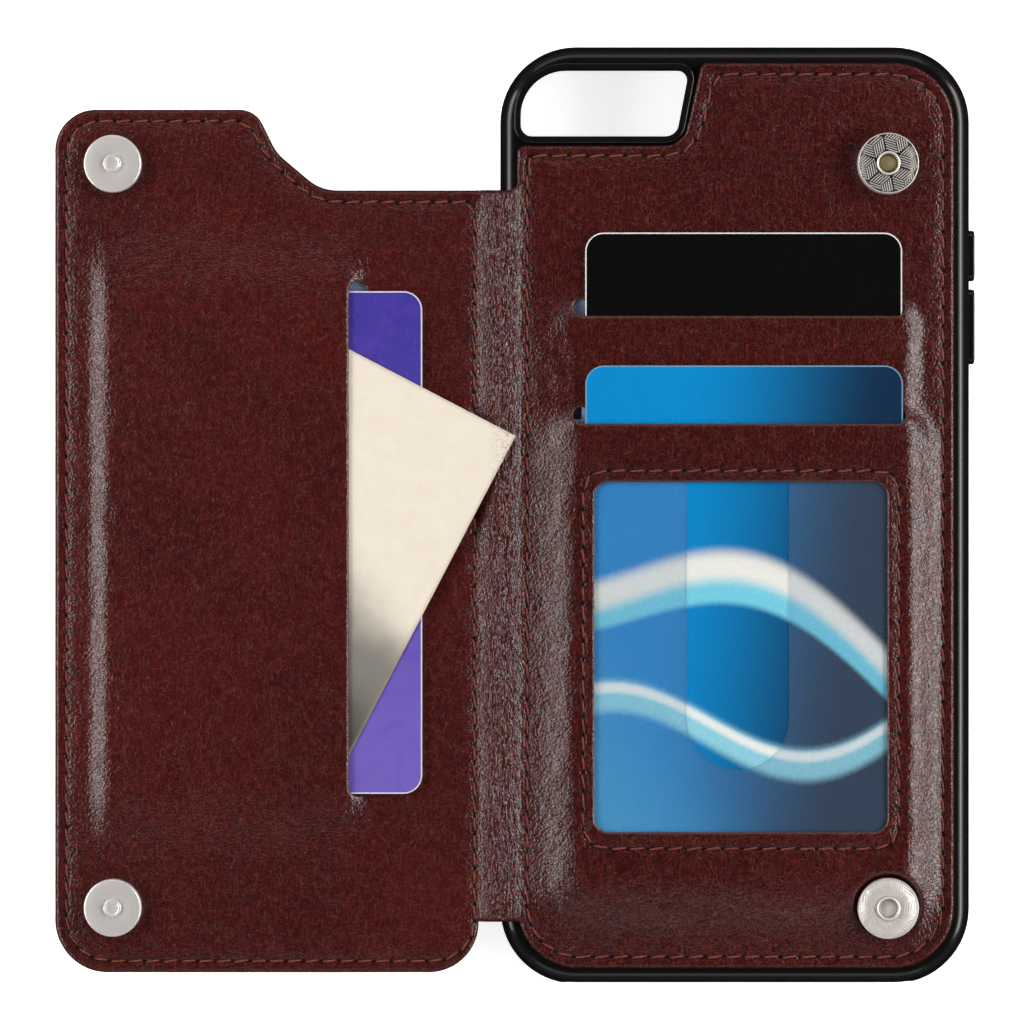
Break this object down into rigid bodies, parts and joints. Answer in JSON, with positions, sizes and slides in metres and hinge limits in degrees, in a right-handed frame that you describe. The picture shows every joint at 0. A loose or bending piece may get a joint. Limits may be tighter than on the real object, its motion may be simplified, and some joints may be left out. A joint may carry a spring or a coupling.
{
  "type": "phone wallet case",
  "caption": "Soft phone shell with a leather back panel, card slots and a clear window, closed by a fold-over leather flap on magnetic snaps.",
  "frame": {"origin": "centre of the shell's front rim, on the plane that the rim rests on", "axes": "+Z from the rest plane to the leather side, +Y to the end with the camera window, +X to the side with the volume buttons; the open flap lies towards -X"},
  "size_m": [0.1575, 0.1606, 0.0141],
  "materials": {
    "shell": "glossy black soft plastic with rounded, slightly worn edges",
    "board": "dense grey-brown board",
    "lining": "fine grey-blue woven lining",
    "leather": "glossy red-brown pebbled leather with fine creases",
    "film": "clear soft plastic film",
    "thread": "twisted red-brown sewing thread",
    "plated_steel": "nickel-plated steel, finely brushed and slightly scuffed",
    "magnet": "dark sintered magnet",
    "brass": "yellow brass",
    "washer_steel": "plain steel",
    "black_card_face": "laminated plain black card with a white core edge",
    "blue_card_face": "laminated blue card with soft abstract bands",
    "purple_card_face": "laminated purple card with a soft gradient",
    "print_paper": "cream paper print with a soft grey tone"
  },
  "bodies": {
    "case": {"back_shell": "shell", "panel_board": "board", "panel_lining": "lining", "panel_leather": "leather", "pocket_divider": "lining", "window_film": "film", "panel_stitching": "thread", "window_stitching": "thread", "snap_socket_caps": "plated_steel", "snap_socket_magnets": "magnet", "snap_socket_rivets": "brass", "snap_socket_washers": "washer_steel"},
    "spine": {"spine_outer_leather": "leather", "spine_inner_leather": "leather"},
    "flap": {"flap_outer_leather": "leather", "flap_board": "board", "flap_lining": "lining", "flap_inner_leather": "leather", "flap_stitching": "thread", "snap_stud_discs": "plated_steel", "snap_stud_rivets": "brass", "snap_stud_washers": "washer_steel", "loose_print": "print_paper"},
    "volume_up": {"volume_up_button": "shell"},
    "volume_down": {"volume_down_button": "shell"},
    "power": {"power_button": "shell"},
    "black_card": {"black_card": "black_card_face"},
    "blue_card": {"blue_card": "blue_card_face"},
    "purple_card": {"purple_card": "purple_card_face"}
  },
  "joints": [
    {"name": "spine_fold", "type": "hinge", "parent": "case", "child": "spine", "pos_m": [-0.0372, 0, 0.0104], "axis": [0, 1, 0], "range_deg": [-3, 90]},
    {"name": "flap_fold", "type": "hinge", "parent": "spine", "child": "flap", "pos_m": [-0.0432, 0, 0.0104], "axis": [0, 1, 0], "range_deg": [-3.5, 90], "deforming": ["loose_print"]},
    {"name": "volume_up_press", "type": "slide", "parent": "case", "child": "volume_up", "axis": [-1, 0, 0], "range_m": [0, 0.0004], "stiffness_N_per_m": 4000},
    {"name": "volume_down_press", "type": "slide", "parent": "case", "child": "volume_down", "axis": [-1, 0, 0], "range_m": [0, 0.0004], "stiffness_N_per_m": 4000},
    {"name": "power_press", "type": "slide", "parent": "case", "child": "power", "axis": [1, 0, 0], "range_m": [0, 0.0004], "stiffness_N_per_m": 4000},
    {"name": "black_card_slide", "type": "slide", "parent": "case", "child": "black_card", "axis": [0, 1, 0], "range_m": [0, 0.006]},
    {"name": "blue_card_slide", "type": "slide", "parent": "case", "child": "blue_card", "axis": [0, 1, 0], "range_m": [0, 0.029]},
    {"name": "purple_card_slide", "type": "slide", "parent": "flap", "child": "purple_card", "axis": [1, 0, 0], "range_m": [0, 0.007]}
  ]
}
